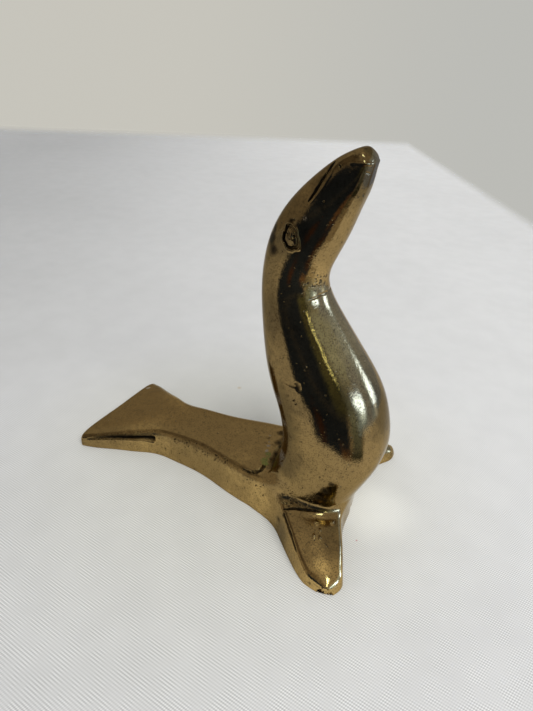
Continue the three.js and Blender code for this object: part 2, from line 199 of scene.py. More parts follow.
def smooth_min(a, b, radius):
    """The lower of two numbers, rounded over where they are closer than the radius."""
    share = np.clip(0.5 + 0.5 * (b - a) / radius, 0, 1)
    return b + (a - b) * share - radius * share * (1 - share)


def smooth_max(a, b, radius):
    return -smooth_min(-a, -b, radius)


def ramp(value, low, high):
    """Rises smoothly from 0 at low to 1 at high."""
    share = np.clip((value - low) / (high - low), 0, 1)
    return share * share * (3 - 2 * share)


class PlaneFinder:
    """Finds which section plane of a loft a point of the loft's side view lies in."""

    def __init__(self, section, length, low, high, step=0.8, tries=160):
        self.section = section
        self.length = length
        self.low = np.array(low)
        self.step = step
        axes = [np.arange(a, b + step, step) for a, b in zip(low, high)]
        spots = np.stack(np.meshgrid(*axes, indexing="ij"), -1)
        self.shape = spots.shape[:2]
        spots = spots.reshape(-1, 2)
        t = np.linspace(0, length, tries)
        centre, along, across, half = section(t)
        offset = spots[:, None, :] - centre[None]
        height = (offset * across[None]).sum(-1)
        reach = np.abs((offset * along[None]).sum(-1)) / half[None]
        crossing = (height[:, :-1] >= 0) & (height[:, 1:] < 0)
        cost = np.where(crossing, reach[:, :-1], np.inf)
        best = cost.argmin(1)
        found = np.isfinite(cost[np.arange(len(spots)), best])
        high_end = height[:, 0] >= 0
        part = height[np.arange(len(spots)), best]
        part = part / (part - height[np.arange(len(spots)), best + 1] + 1e-12)
        guess = t[best] + np.clip(part, 0, 1) * (t[1] - t[0])
        guess = np.where(found, guess, np.where(high_end, length, 0.0))
        self.table = guess.reshape(self.shape)
        self.table = self.find(spots, 6).reshape(self.shape)

    def guess(self, spot):
        place = (spot - self.low) / self.step
        place = np.clip(place, 0, np.array(self.shape) - 1.001)
        cell = place.astype(int)
        part = place - cell
        i, j = cell[:, 0], cell[:, 1]
        a, b = part[:, 0], part[:, 1]
        return (
            (1 - a) * (1 - b) * self.table[i, j] + a * (1 - b) * self.table[i + 1, j]
            + (1 - a) * b * self.table[i, j + 1] + a * b * self.table[i + 1, j + 1]
        )

    def find(self, spot, rounds=1):
        """The loft parameter of the plane through each point, held between the two ends."""
        t = self.guess(spot)
        nudge = 0.01
        for _ in range(rounds):
            centre, _, across, _ = self.section(t)
            height = ((spot - centre) * across).sum(1)
            centre, _, across, _ = self.section(t + nudge)
            later = ((spot - centre) * across).sum(1)
            slope = np.minimum((later - height) / nudge, -0.15)
            t = np.clip(t - np.clip(height / slope, -1.5, 1.5), 0, self.length)
        return t


# The upright loft: trunk, neck and head

upright_table = np.array(UPRIGHT_RINGS, float)
upright_table[:, :4] *= SITTING_HEIGHT / 100
upright_table[:, [0, 2]] += CREASE
upright_knots = chord_knots((upright_table[:, 0:2] + upright_table[:, 2:4]) / 2)
upright_spline = Spline(upright_knots, upright_table)
UPRIGHT_END = upright_knots[-1]


def section_of(row):
    """The middle, the two directions and the half length of a section from its row."""
    along = row[:, 2:4] - row[:, 0:2]
    length = np.linalg.norm(along, axis=1)
    along = along / length[:, None]
    across = np.stack([-along[:, 1], along[:, 0]], 1)
    return (row[:, 0:2] + row[:, 2:4]) / 2, along, across, length / 2


upright_planes = PlaneFinder(
    lambda t: section_of(upright_spline(t)), UPRIGHT_END, (-10, -5), (62, 106))
# What a field says where it isn't worked out, and the radius of the sole's edge
FAR = 9.0
SOLE_EDGE = 0.3
SNOUT_EDGE = 0.3


def only_where(near, field, p):
    """The field where it matters, and a far value elsewhere."""
    out = np.full(len(p), FAR)
    if near.any():
        out[near] = field(p[near])
    return out


def superellipse(u, v, half_u, half_v, power):
    """How far a point lies outside a superellipse, along the ray from its middle."""
    q = ((np.abs(u) / half_u) ** power + (np.abs(v) / half_v) ** power) ** (1 / power)
    r = np.hypot(u, v)
    side = r - r / np.maximum(q, 1e-6)
    return np.where(r < 1e-6, -np.minimum(half_u, half_v), side)


def upright_field(p):
    spot = p[:, [0, 2]]
    t = upright_planes.find(spot)
    row = upright_spline(t)
    centre, along, across, half = section_of(row)
    u = ((spot - centre) * along).sum(1)
    past = ((spot - centre) * across).sum(1)
    side = superellipse(u, p[:, 1], half, row[:, 4] / 2, row[:, 5])
    beyond = np.where(t >= UPRIGHT_END - 1e-6, past, -50.0)
    return smooth_max(side, beyond, SNOUT_EDGE)


# The hind body and the fan

fan_table = np.array(FAN_ROWS, float)
hind_table = np.array(HIND_ROWS, float)
fan_spline = Spline(fan_table[:, 0], fan_table[:, 1:])
hind_spline = Spline(hind_table[:, 0], hind_table[:, 1:])
SLAB_POWER = 6
TRAILING_EDGE = 0.9
# How softly the fan's rows and the hind body's rows run into each other at the waist
WAIST_SOFTNESS_UP = 1.0
WAIST_SOFTNESS_OUT = 2.2


def slab_size(x):
    """Height and half width over the distance from the trailing edge."""
    fan = fan_spline(x)
    hind = hind_spline(x)
    height = smooth_min(fan[:, 0], hind[:, 0], WAIST_SOFTNESS_UP)
    return height, smooth_max(fan[:, 1], hind[:, 1], WAIST_SOFTNESS_OUT)


def slab_field(p):
    x = p[:, 0] - TRAIL
    height, half = slab_size(x)
    side = superellipse(p[:, 1], p[:, 2], half, height, SLAB_POWER)
    ends = np.maximum(-x, x - HIND_ROWS[-1][0])
    return smooth_max(side, ends, TRAILING_EDGE)


# The flippers

flipper_table = np.array(FLIPPER_STATIONS, float) / 100
flipper_table[:, [0, 2]] *= FLIPPER_FORWARD
flipper_table[:, [1, 3]] = TRUNK_WIDTH / 2 + flipper_table[:, [1, 3]] * FLIPPER_SPREAD
flipper_table[:, 4:] *= FLIPPER_HEIGHT
flipper_knots = chord_knots((flipper_table[:, 0:2] + flipper_table[:, 2:4]) / 2)
flipper_spline = Spline(flipper_knots, flipper_table)
FLIPPER_END = flipper_knots[-1]


class Flipper:
    """A front flipper on side -1, the right, or side 1, the left.

    Its tip can be set back, its front edge hollowed and its reach stretched, all in mm.
    """

    def __init__(self, side, set_back, hollow, extra_spread):
        self.side = side
        self.set_back = set_back
        self.hollow = hollow
        self.stretch = 1 + extra_spread / FLIPPER_REACH
        self.planes = PlaneFinder(
            lambda t: section_of(self.rows(t)), FLIPPER_END, (-6, 0), (46, 42))

    def rows(self, t):
        row = flipper_spline(t)
        row[:, 2] -= self.hollow * np.sin(np.pi * np.minimum(row[:, 3] / FLIPPER_REACH, 1))
        return row

    def field(self, p):
        y = p[:, 1] * self.side / self.stretch
        x = p[:, 0] - CREASE + self.set_back * y / FLIPPER_REACH
        spot = np.stack([x, y], 1)
        t = self.planes.find(spot)
        row = self.rows(t)
        centre, along, across, half = section_of(row)
        past = ((spot - centre) * across).sum(1)
        s = ((spot - centre) * along).sum(1) / (2 * half) + 0.5
        chord = 2 * half
        lean = FLIPPER_LEAN * row[:, 4] / chord
        front_lean = FLIPPER_LEAN * row[:, 5] / chord
        j = np.clip((s - lean) / (1 - lean - front_lean), -0.2, 1.2)
        top = row[:, 4] + (row[:, 5] - row[:, 4]) * s + FLIPPER_CROWN * (1 - (2 * j - 1) ** 2)
        rear = (FLIPPER_LEAN * p[:, 2] - s * chord) / math.hypot(1, FLIPPER_LEAN)
        front = (FLIPPER_LEAN * p[:, 2] + (s - 1) * chord) / math.hypot(1, FLIPPER_LEAN)
        body = smooth_max(p[:, 2] - top, rear, FLIPPER_REAR_EDGE)
        body = smooth_max(body, front, FLIPPER_FRONT_EDGE)
        beyond = np.where(t >= FLIPPER_END - 1e-6, past, -50.0)
        return smooth_max(body, beyond, FLIPPER_TIP_EDGE)


flipper_right = Flipper(-1, 0, 0, 0)
flipper_left = Flipper(1, 2.6, 4.8, 2)

# Fillets where the hind body and the flippers run into the trunk
BACK_FILLET = 1.2
FLANK_EXTRA_FILLET = 4.5
FLIPPER_FILLET = 3.4


def base_parts(p):
    x, y, z = p.T
    beside = (z < 12) & (x > CREASE - 2)
    return (
        only_where(x > 2, upright_field, p),
        only_where(z < 20, slab_field, p),
        only_where(beside & (y < -1), flipper_right.field, p),
        only_where(beside & (y > 1), flipper_left.field, p),
    )


def joined(parts, p):
    """The field of the whole body, with fillets, from the fields of its parts."""
    upright, slab, right, left = parts
    fillet = BACK_FILLET + FLANK_EXTRA_FILLET * ramp(np.abs(p[:, 1]), 9, 13.5)
    body = smooth_min(upright, slab, fillet)
    body = smooth_min(body, right, FLIPPER_FILLET)
    body = smooth_min(body, left, FLIPPER_FILLET)
    return smooth_max(body, -p[:, 2], SOLE_EDGE)


def base_field(p):
    return joined(base_parts(p), p)


# Carved details

def folded(p):
    """The points with the seal's left side laid over its right side."""
    out = p.copy()
    out[:, 1] = -np.abs(p[:, 1])
    return out


def bump(distance, reach):
    """A smooth hump that is 1 at distance 0 and ends at the given reach."""
    share = np.clip(distance / reach, 0, 1)
    return (1 - share * share) ** 2


def ripple(p, pitch):
    """A wandering number between about -1 and 1 with the given pitch in mm."""
    x, y, z = p.T * (2 * math.pi / pitch)
    wave = np.sin(x + 1.7 * np.sin(0.61 * y + 0.4)) + np.sin(y + 1.3 * np.sin(0.73 * z + 2.1))
    return (wave + np.sin(z + 1.5 * np.sin(0.57 * x + 1.2))) / 2


class Stroke:
    """A groove along a path on the surface, or a ridge where the depth is negative.

    Widths and depths are given for the start, the middle and the end of the path.
    """

    def __init__(self, path, widths, depths, dirt=1.0, both=True):
        count = 10 * (len(path) - 1) + 1
        if len(path) == 2:
            path = [path[0], np.mean(path, 0), path[1]]
        last = len(path) - 1
        curve = Spline(range(len(path)), path)(np.linspace(0, last, count))
        self.curve = settle(base_field, curve, 3)
        share = np.linspace(0, 1, len(self.curve))
        ends = np.clip(np.minimum(share, 1 - share) * 8, 0.15, 1)
        self.widths = np.interp(share, (0, 0.5, 1), widths)
        self.depths = np.interp(share, (0, 0.5, 1), depths) * np.sqrt(ends)
        self.dirt = dirt
        self.both = both
        reach = 2.2 * max(widths) + 0.4
        self.low, self.high = self.curve.min(0) - reach, self.curve.max(0) + reach

    def measure(self, p):
        """Distance to the path over its width, and the depth there, for the points nearby."""
        spot = folded(p) if self.both else p
        near = ((spot > self.low) & (spot < self.high)).all(1)
        share = np.full(len(p), 9.0)
        depth = np.zeros(len(p))
        if near.any():
            q = spot[near]
            start, step = self.curve[:-1], np.diff(self.curve, axis=0)
            along = ((q[:, None, :] - start) * step).sum(-1) / (step**2).sum(-1)
            along = np.clip(along, 0, 1)
            apart = np.linalg.norm(q[:, None, :] - start - along[..., None] * step, axis=-1)
            width = self.widths[:-1] + along * np.diff(self.widths)
            ratio = apart / width / (1 + 0.22 * ripple(q, 2.3))[:, None]
            best = ratio.argmin(1)
            rows = np.arange(len(q))
            share[near] = ratio[rows, best]
            depth[near] = (self.depths[:-1] + along * np.diff(self.depths))[rows, best]
            depth[near] *= 1 + 0.3 * ripple(q, 3.1)
        return share, depth


# The eyes: reach and height, half length and half height, and their slant
EYE = (19.0, 81.35)
EYE_HALF_LENGTH = 1.75
EYE_HALF_HEIGHT = 2.5
EYE_TILT = math.radians(-14)


def eye_relief(p):
    """How far the surface is sunk at the eyes, and their share of dirt."""
    relief = np.zeros(len(p))
    dirt = np.zeros(len(p))
    x, z = p[:, 0] - EYE[0], p[:, 2] - EYE[1]
    near = (np.hypot(x, z) < 6) & (np.abs(p[:, 1]) > 3)
    x, z = x[near], z[near]
    u = x * math.cos(EYE_TILT) - z * math.sin(EYE_TILT)
    v = x * math.sin(EYE_TILT) + z * math.cos(EYE_TILT)
    turn = np.arctan2(v / EYE_HALF_HEIGHT, u / EYE_HALF_LENGTH)
    wobble = 0.06 * np.sin(3 * turn + 0.6) + 0.05 * np.sin(5 * turn + 2) + 0.03 * np.sin(9 * turn)
    e = np.hypot(u / EYE_HALF_LENGTH, v / EYE_HALF_HEIGHT) * (1 + wobble)
    # The socket is cut deepest behind the ball
    behind = 0.5 - 0.5 * np.cos(turn - 0.35)
    groove = bump(np.abs(e - 0.98), 0.24) * (0.24 + 0.3 * behind)
    rim = bump(np.abs(e - 1.3), 0.2) * (0.12 + 0.1 * (1 - behind))
    ball = bump(e, 0.75) * 0.22
    lumps = bump(np.hypot(u - 0.35, v + 0.5), 0.7) * 0.22
    lumps = lumps - bump(np.hypot(u + 0.4, v - 0.9), 0.6) * 0.25
    crack = bump(np.hypot(u - 0.95, v - 0.35), 0.55) * 0.35
    relief[near] = groove - rim - ball - lumps + crack
    rough = ripple(p[near], 1.5)
    inside = bump(e, 1.05) * np.clip(0.35 + 0.8 * rough, 0, 1)
    dirt[near] = np.clip(bump(np.abs(e - 0.98), 0.3) * (0.4 + 0.5 * behind) + 1.6 * crack
                         + inside, 0, 1)
    return relief, dirt


# The groove starts this far from the trailing edge
GROOVE_START = 2.2
GROOVE_DEPTH = 1.5


def fan_groove(p):
    """The wedge groove along each side of the fan, deepest where it stops at the waist, and the
    share of painted shade in it and just above it, under the overhang.
    """
    x = p[:, 0] - TRAIL
    share = np.clip((x - GROOVE_START) / (FAN_LENGTH - GROOVE_START), 0, 1)
    middle = 3.2 + 3.3 * share**0.8
    above = p[:, 2] - middle
    flare = ramp(share, 0.78, 1.0)
    reach = np.where(above > 0, 0.5 + 0.4 * share, 0.6 + 0.7 * share + 0.9 * flare)
    stop = 1 - ramp(x, FAN_LENGTH - 0.5, FAN_LENGTH + 0.7)
    outward = ramp(np.abs(p[:, 1]), 8, 9)
    here = stop * outward * (x > GROOVE_START - 1)
    shape = bump(np.abs(above), reach) * here
    painted_shade = bump(np.abs(above), np.where(above > 0, 1.9, reach)) * here
    return shape * GROOVE_DEPTH * share**0.7, painted_shade * np.minimum(1, 0.35 + 1.2 * share)


# Paths over the right side, which the left side repeats
MOUTH = [(26.5, -3.4, 97.9), (25.25, -4.74, 95.46), (24.36, -5.48, 93.59), (23.4, -6.09, 91.65),
         (22.4, -6.5, 89.9)]
LIP = [(27.3, -3.8, 97.3), (26.15, -4.95, 95.0), (25.2, -5.7, 93.1), (24.1, -6.2, 91.2),
       (22.9, -6.6, 89.6)]
NOSE_EDGE = [(30.4, -4.3, 98.7), (32.4, -3.8, 98.6), (33.9, -2.3, 98.6), (34.6, 0, 98.6)]
THROAT_LINE = [(26.6, 0.5, 66.9), (26.4, -1.4, 67.2), (25.9, -3.2, 67.2), (24.9, -5.1, 66.8),
               (24.0, -6.2, 66.5)]
BACK_CURL = [(15.9, -9.0, 12.6), (15.6, -10.8, 12.2), (14.2, -12.0, 11.6), (12.4, -12.2, 11.3),
             (10.6, -11.9, 11.3)]
FLIPPER_EDGE = [(27.4, -18.7, 8.4), (29.8, -21.3, 7.6), (32.4, -23.9, 6.6), (34.9, -26.1, 5.4)]
TIP_EDGE = [(41.6, -30.0, 2.3), (43.2, -30.3, 2.0), (44.8, -30.2, 1.9)]
ROOT_LINE = [(27.0, -17.7, 8.8), (29.4, -16.7, 9.3), (31.9, -15.8, 9.6), (34.4, -14.9, 9.8),
             (36.8, -14.2, 9.8)]
# Small mounds that catch the light on the near flipper: forward, out, reach
GLINTS = [(36.4, -17.0, 0.75), (38.1, -18.7, 0.5), (37.3, -20.9, 0.6), (39.0, -20.6, 0.55),
          (39.9, -14.9, 0.7), (40.9, -29.0, 0.5), (43.4, -28.9, 0.6)]
# Small pores: place and reach
PORES = [(25.2, -12.95, 41.8, 0.32), (25.9, -13.1, 40.95, 0.26), (19.25, -7.05, 85.25, 0.45),
         (15.9, -14.1, 9.2, 0.25), (18.8, -15.1, 7.7, 0.28), (17.5, -14.6, 9.9, 0.2)]
GLINT_DEPTH = -0.25
PORE_DEPTH = 0.18
CREASE_DEPTH = 1.1

strokes = []


def stroke(*numbers, **extras):
    strokes.append(Stroke(*numbers, **extras))


def carving(p):
    """How far the surface is sunk, and the share of dirt in the hollows and of painted shade in the
    fan's grooves.
    """
    relief, dirt = eye_relief(p)
    groove, dark = fan_groove(p)
    relief += groove
    dirt = np.maximum(dirt, dark)
    for line in strokes:
        share, depth = line.measure(p)
        relief += depth * bump(share, 1)
        dirt = np.maximum(dirt, line.dirt * bump(share, 1.25))
    return relief, dirt


def back_crease(parts, p):
    """The share of the dark crease where the back of the hind body meets the trunk."""
    upright, slab, _, _ = parts
    share = bump(np.abs(upright - slab), 1.5) * ramp(p[:, 2], 10.2, 11.4)
    share = share * ramp(-np.abs(p[:, 1]), -12.5, -9.0)
    return share * ramp(-p[:, 0], -CREASE - 5, -CREASE - 2)


def full_field(p):
    """The whole body with its carved details."""
    relief, _ = carving(p)
    parts = base_parts(p)
    return joined(parts, p) + relief + CREASE_DEPTH * back_crease(parts, p)


# Dirt in the hollows and the dark back crease, with painted shade in the fan's grooves
def dirt_at(p):
    _, dirt = carving(p)
    return np.maximum(dirt, back_crease(base_parts(p), p))


# From the field to a mesh

def neighbours(axis, across=slice(None)):
    """Indices of a grid and of the same grid one step further along an axis."""
    first = [across] * 3
    second = [across] * 3
    first[axis] = slice(0, -1)
    second[axis] = slice(1, None)
    return tuple(first), tuple(second)


def surface_net(field, low, high, step):
    """Quads through the cells where the field changes sign."""
    axes = [np.arange(a, b + step, step) for a, b in zip(low, high)]
    spots = np.stack(np.meshgrid(*axes, indexing="ij"), -1)
    shape = spots.shape[:3]
    flat = spots.reshape(-1, 3)
    value = np.concatenate([field(part) for part in np.array_split(flat, 12)]).reshape(shape)
    cells = tuple(n - 1 for n in shape)
    total = np.zeros(cells + (3,))
    count = np.zeros(cells)
    for axis in range(3):
        first, second = neighbours(axis)
        a, b = value[first], value[second]
        crossing = (a < 0) != (b < 0)
        share = np.where(crossing, a / np.where(crossing, a - b, 1), 0)
        spot = spots[first] + share[..., None] * step * np.eye(3)[axis]
        others = [k for k in range(3) if k != axis]
        for da in (0, 1):
            for db in (0, 1):
                cut = [slice(None)] * 3
                cut[others[0]] = slice(da, da + cells[others[0]])
                cut[others[1]] = slice(db, db + cells[others[1]])
                hit = crossing[tuple(cut)]
                total += np.where(hit[..., None], spot[tuple(cut)], 0)
                count += hit
    used = count > 0
    index = np.full(cells, -1)
    index[used] = np.arange(used.sum())
    points = total[used] / count[used][:, None]
    quads = []
    for axis in range(3):
        first, second = neighbours(axis, slice(1, -1))
        a, b = value[first] < 0, value[second] < 0
        ia, ja, ka = np.nonzero(a != b)
        leaving = a[ia, ja, ka]
        others = [(axis + 1) % 3, (axis + 2) % 3]
        corner = np.stack([ia, ja, ka], 1)
        corner[:, others[0]] += 1
        corner[:, others[1]] += 1
        ring = []
        for da, db in ((1, 1), (0, 1), (0, 0), (1, 0)):
            cell = corner.copy()
            cell[:, others[0]] -= da
            cell[:, others[1]] -= db
            ring.append(index[cell[:, 0], cell[:, 1], cell[:, 2]])
        ring = np.stack(ring, 1)
        quads.append(np.where(leaving[:, None], ring, ring[:, ::-1]))
    return points, np.concatenate(quads)


def gradient(field, p, nudge=0.02):
    out = np.empty_like(p)
    for axis in range(3):
        shift = np.zeros(3)
        shift[axis] = nudge
        out[:, axis] = (field(p + shift) - field(p - shift)) / (2 * nudge)
    return out


def value_and_slope(field, p, nudge=0.01):
    """The field and a quicker slope, from a step to one side only."""
    value = field(p)
    slope = np.empty_like(p)
    for axis in range(3):
        shift = np.zeros(3)
        shift[axis] = nudge
        slope[:, axis] = (field(p + shift) - value) / nudge
    return value, slope


def settle(field, p, rounds=2):
    """Moves the points onto the zero level."""
    for _ in range(rounds):
        value, slope = value_and_slope(field, p)
        size = np.maximum((slope**2).sum(1), 0.05)
        move = -(value / size)[:, None] * slope
        length = np.linalg.norm(move, axis=1)
        p = p + move * np.minimum(1, 0.6 / np.maximum(length, 1e-9))[:, None]
    return p


def relax(points, quads, rounds=2):
    """Evens out the spacing of the points."""
    edges = np.sort(np.stack([quads, np.roll(quads, -1, 1)], -1).reshape(-1, 2), 1)
    edges = np.unique(edges, axis=0)
    for _ in range(rounds):
        total = np.zeros_like(points)
        count = np.zeros(len(points))
        for a, b in ((0, 1), (1, 0)):
            np.add.at(total, edges[:, a], points[edges[:, b]])
            np.add.at(count, edges[:, a], 1)
        points = points + 0.6 * (total / np.maximum(count, 1)[:, None] - points)
    return points


def split_faces(points, quads, rings, chosen):
    """Splits the chosen quads into four, and puts the new points into their neighbours."""
    def key(pairs):
        pairs = np.sort(pairs, -1).astype(np.int64)
        return pairs[..., 0] * (1 << 32) + pairs[..., 1]

    picked = quads[chosen]
    pairs = np.stack([picked, np.roll(picked, -1, 1)], -1)
    keys, inverse = np.unique(key(pairs).ravel(), return_inverse=True)
    ends = np.stack([keys >> 32, keys & 0xFFFFFFFF], 1)
    first_mid = len(points)
    middle = points[ends].mean(1)
    first_centre = first_mid + len(middle)
    points = np.concatenate([points, middle, points[picked].mean(1)])
    mid = first_mid + inverse.reshape(-1, 4)
    centre = first_centre + np.arange(len(picked))
    fresh = [np.stack([picked[:, k], mid[:, k], centre, mid[:, k - 1]], 1) for k in range(4)]
    rest = quads[~chosen]
    rest_keys = key(np.stack([rest, np.roll(rest, -1, 1)], -1))
    found = np.searchsorted(keys, rest_keys)
    touched = keys[np.minimum(found, len(keys) - 1)] == rest_keys
    plain = ~touched.any(1)
    made = [list(face) for face in rest[~plain]]
    known = dict(zip(keys.tolist(), range(first_mid, first_centre)))
    grown = []
    for face in made + rings:
        ring = []
        for a, b in zip(face, face[1:] + face[:1]):
            ring.append(a)
            low, high = (a, b) if a < b else (b, a)
            spot = known.get(int(low) * (1 << 32) + int(high))
            if spot is not None:
                ring.append(spot)
        grown.append(ring)
    return points, np.concatenate([rest[plain]] + fresh), grown


def bend_of(quads, normals):
    """The largest turn between the normals round each quad, as 1 minus a cosine."""
    n = normals[quads]
    turn = np.stack([(n[:, k] * n[:, k - 1]).sum(-1) for k in range(4)]
                    + [(n[:, 0] * n[:, 2]).sum(-1), (n[:, 1] * n[:, 3]).sum(-1)])
    return 1 - turn.min(0)


def unit(v):
    return v / np.maximum(np.linalg.norm(v, axis=-1, keepdims=True), 1e-12)


# The strokes of the chisel: path, half widths, depths. Without a name: nicks by the mouth,
# by the nose and under the chin.

stroke(MOUTH, (0.5, 0.46, 0.25), (0.7, 0.65, 0.3), dirt=1.4)
stroke(LIP, (0.42, 0.42, 0.3), (-0.09, -0.12, -0.05), dirt=0)
stroke(NOSE_EDGE, (0.6, 0.6, 0.6), (-0.10, -0.24, -0.10), dirt=0)
stroke([(28.0, -4.5, 97.8), (28.3, -4.5, 97.5)], (0.35, 0.35, 0.3), (0.35, 0.35, 0.3))
stroke([(33.3, -3.2, 96.9), (33.9, -2.4, 96.6)], (0.35, 0.4, 0.35), (0.2, 0.25, 0.2), dirt=0.5)
stroke([(33.0, -2.3, 92.4), (33.2, -2.1, 91.8)], (0.35, 0.4, 0.35), (0.25, 0.3, 0.2), dirt=0.6)
stroke(THROAT_LINE, (0.6, 0.55, 0.45), (0.30, 0.16, 0.06), dirt=0.45)
stroke(BACK_CURL, (0.7, 0.75, 0.5), (0.9, 0.9, 0.4))
stroke(FLIPPER_EDGE, (0.4, 0.6, 0.3), (0.2, 0.35, 0.05), dirt=0.95)
stroke(TIP_EDGE, (0.3, 0.35, 0.3), (0.06, 0.1, 0.06), dirt=0.5)
stroke(ROOT_LINE, (0.35, 0.6, 0.3), (0.15, 0.35, 0.1), dirt=1.0)
# A scratch and a dent on the right of the back, and a dent lower down
stroke([(21.4, -11.8, 45.4), (25.4, -12.5, 45.6)], (0.35, 0.5, 0.7), (0.06, 0.10, 0.12), dirt=0.35,
       both=False)
stroke([(25.4, -12.5, 46.5), (26.3, -12.6, 45.2)], (0.8, 1.2, 0.8), (0.12, 0.18, 0.12), dirt=0.62,
       both=False)
stroke([(28.2, -14.0, 26.2), (29.8, -14.3, 24.9)], (0.6, 0.9, 0.9), (0.08, 0.12, 0.10), dirt=0.42,
       both=False)
for x, y, reach in GLINTS:
    mound = [(x, y, FLIPPER_HEIGHT - 1), (x + 0.4, y - 0.4, FLIPPER_HEIGHT - 1)]
    stroke(mound, (reach,) * 3, (GLINT_DEPTH,) * 3, dirt=0, both=False)
for x, y, z, reach in PORES:
    pore = [(x, y, z), (x + 0.3, y, z + 0.3)]
    stroke(pore, (reach,) * 3, (PORE_DEPTH,) * 3, dirt=0.75, both=False)

# The mesh: a net over this box, then finer faces where the surface bends

NET_LOW = (-50.2, -33.4, -1.5)
NET_HIGH = (50.2, 34.4, 103.4)
NET_STEP = 1.0
BEND_LIMITS = (0.012, 0.02, 0.03)

points, quads = surface_net(base_field, NET_LOW, NET_HIGH, NET_STEP)
for _ in range(2):
    points = settle(base_field, relax(points, quads), 1)
rings = []
points, quads, rings = split_faces(points, quads, rings, np.ones(len(quads), bool))
points = settle(full_field, settle(base_field, relax(points, quads, 1), 1), 2)
normals = unit(gradient(full_field, points))
for limit in BEND_LIMITS:
    chosen = bend_of(quads, normals) > limit
    kept = len(points)
    points, quads, rings = split_faces(points, quads, rings, chosen)
    points[kept:] = settle(full_field, points[kept:], 2)
    normals = np.concatenate([normals, unit(gradient(full_field, points[kept:]))])

# The pieces

# Front and back end of the line between head and trunk, as reach and height
THROAT = ((CREASE + 12.2 * SITTING_HEIGHT / 100, 68.6 * SITTING_HEIGHT / 100),
          (CREASE - 5.9 * SITTING_HEIGHT / 100, 62.6 * SITTING_HEIGHT / 100))
FLANK_SEAT = CREASE + 6.6
WAIST = TRAIL + FAN_LENGTH


def piece_of(p):
    """The number of the piece that each point of the surface belongs to."""
    upright, slab, right, left = base_parts(p)
    (front_x, front_z), (back_x, back_z) = THROAT
    over = (p[:, 2] - back_z) * (front_x - back_x) - (p[:, 0] - back_x) * (front_z - back_z) > 0
    trunk = np.minimum(upright, slab)
    owner = np.full(len(p), 1)
    owner[(slab < upright) & (p[:, 0] < FLANK_SEAT)] = 2
    owner[p[:, 0] < WAIST] = 3
    owner[(right < trunk) & (p[:, 1] < 0)] = 4
    owner[(left < trunk) & (p[:, 1] > 0)] = 5
    owner[over] = 0
    return owner


# Each piece of the frame and the slot of its metal
PIECES = [
    ("head_and_neck", "brass"),
    ("chest_and_shoulders", "brass"),
    ("hind_body", "brass_dull"),
    ("tail_fan", "brass_dull"),
    ("front_flipper_right", "brass"),
    ("front_flipper_left", "brass"),
]

low, high = (np.array(corner) / MM - (0, MIDDLE, 0) for corner in cad_box)
points = np.clip(points, low, high)

# How brown the brass has gone, from 0 for clean gold to 1, at places on the right side
TARNISH = [
    (-5, 0, 11.5, 0.5), (-38, 0, 7, 0.55), (-47, -15, 5, 0.6), (-5, -10.5, 5, 0.55),
    (-30, -12, 4, 0.3), (10, -13, 6, 0.35), (18, -14.5, 6, 0.15), (24, -14, 12, 0.45),
    (22, -13, 20, 1.0), (36, -10, 18, 0.7), (20, -11, 32, 1.15), (12, -5, 40, 1.05),
    (28, -21, 4, 1.0), (41, -21, 7.5, 0.75), (35, -23, 7, 0.3), (31, -19, 8.5, 0.6),
    (32, -12, 32, 0.6), (40, -5, 38, 0.5), (33, -4, 56, 0.4), (24, -8, 52, 0.7),
    (13, -7, 60, 0.9), (10.5, 0, 66, 0.9), (24, -5, 71, 0.15), (18, -7, 83, 0.9),
    (26, -5, 94, 0.85), (31, 0, 100, 0.7), (31, -2, 88, 0.45), (28, -2, 78, 0.45),
    (30, -20, 7, 0.5), (36, -25, 6, 0.4), (38, -12, 6, 0.45), (44, -28, 4, 0),
    (34, -2, 94, 1.0), (33, -3, 91, 0.8), (45.5, -1, 38, 1.1), (43, -2, 26, 0.3),
    (41, -6, 50, 0.7), (25.5, -3, 67, 0.6), (37, -11, 45, 0.8),
]
# Place, reach and strength of green salts, dark stains, pits, polished metal and pale crust,
# each on one side only: y is negative on the right. The dark spots up the near armpit are
# painted shade and painted dark reflection, not stains.
VERDIGRIS = [(15.0, -6.6, 13.0, 2.3, 1), (15.8, -8.2, 13.0, 2.0, 1), (14.6, -4.0, 13.1, 1.7, 1),
             (15.2, -7.3, 13.0, 1.6, 1), (15.0, -5.2, 13.0, 1.4, 0.8),
             (13.2, -5.9, 78.8, 1.8, 0.5)]
STAINS_AND_PAINTED_SHADE = [(13.2, -5.7, 78.4, 2.6, 0.62), (18.7, -7.0, 85.2, 1.2, 0.8), (27.5, -19.0, 8.0, 1.6, 0.7),
          (25.8, -18.0, 4.6, 1.9, 0.7), (10.9, 2.8, 12.8, 1.1, 0.6), (28.6, -15.4, 11.3, 1.6, 0.5),
          (14.8, 2, 12.9, 2.6, 0.7), (13.2, 7, 12.8, 2.8, 0.7), (16.4, -2.5, 12.8, 2.3, 0.75),
          (16.4, -5.5, 12.8, 1.7, 0.6), (12.9, -5.2, 79.6, 3.2, 0.95), (41.2, -30, 1.6, 1.0, 0.8),
          (13.4, -5, 81.8, 2.6, 0.8), (14.2, -6.6, 77.4, 2.6, 0.8), (43, 29, 2.5, 9, 0.5),
          # Painted shade and dark reflection up the near armpit: these three, and two more below
          (35.4, -14.4, 14.7, 2.4, 0.7), (37.3, -14.2, 17.5, 2.4, 0.7), (37.2, -13.9, 14, 2, 0.7),
          (28.2, -17.4, 9, 1.5, 0.5), (29.5, -14.6, 10.6, 0.8, 0.7), (37, -14.2, 10, 1.0, 0.5),
          (45.5, -29.0, 2.2, 1.3, 0.6), (31.5, -3.2, 98.9, 0.9, 0.45),
          # Two more spots of painted shade up the near armpit
          (38.3, -14.0, 20.6, 1.7, 0.75), (36.9, -14.3, 17.9, 2.2, 0.75),
          (29.6, -6.5, 62.5, 1.2, 0.5), (30.4, -7.2, 60.4, 1.2, 0.5),
          (16.2, 1.2, 12.8, 2.2, 0.8), (15.4, 4.6, 12.8, 2.2, 0.7)]
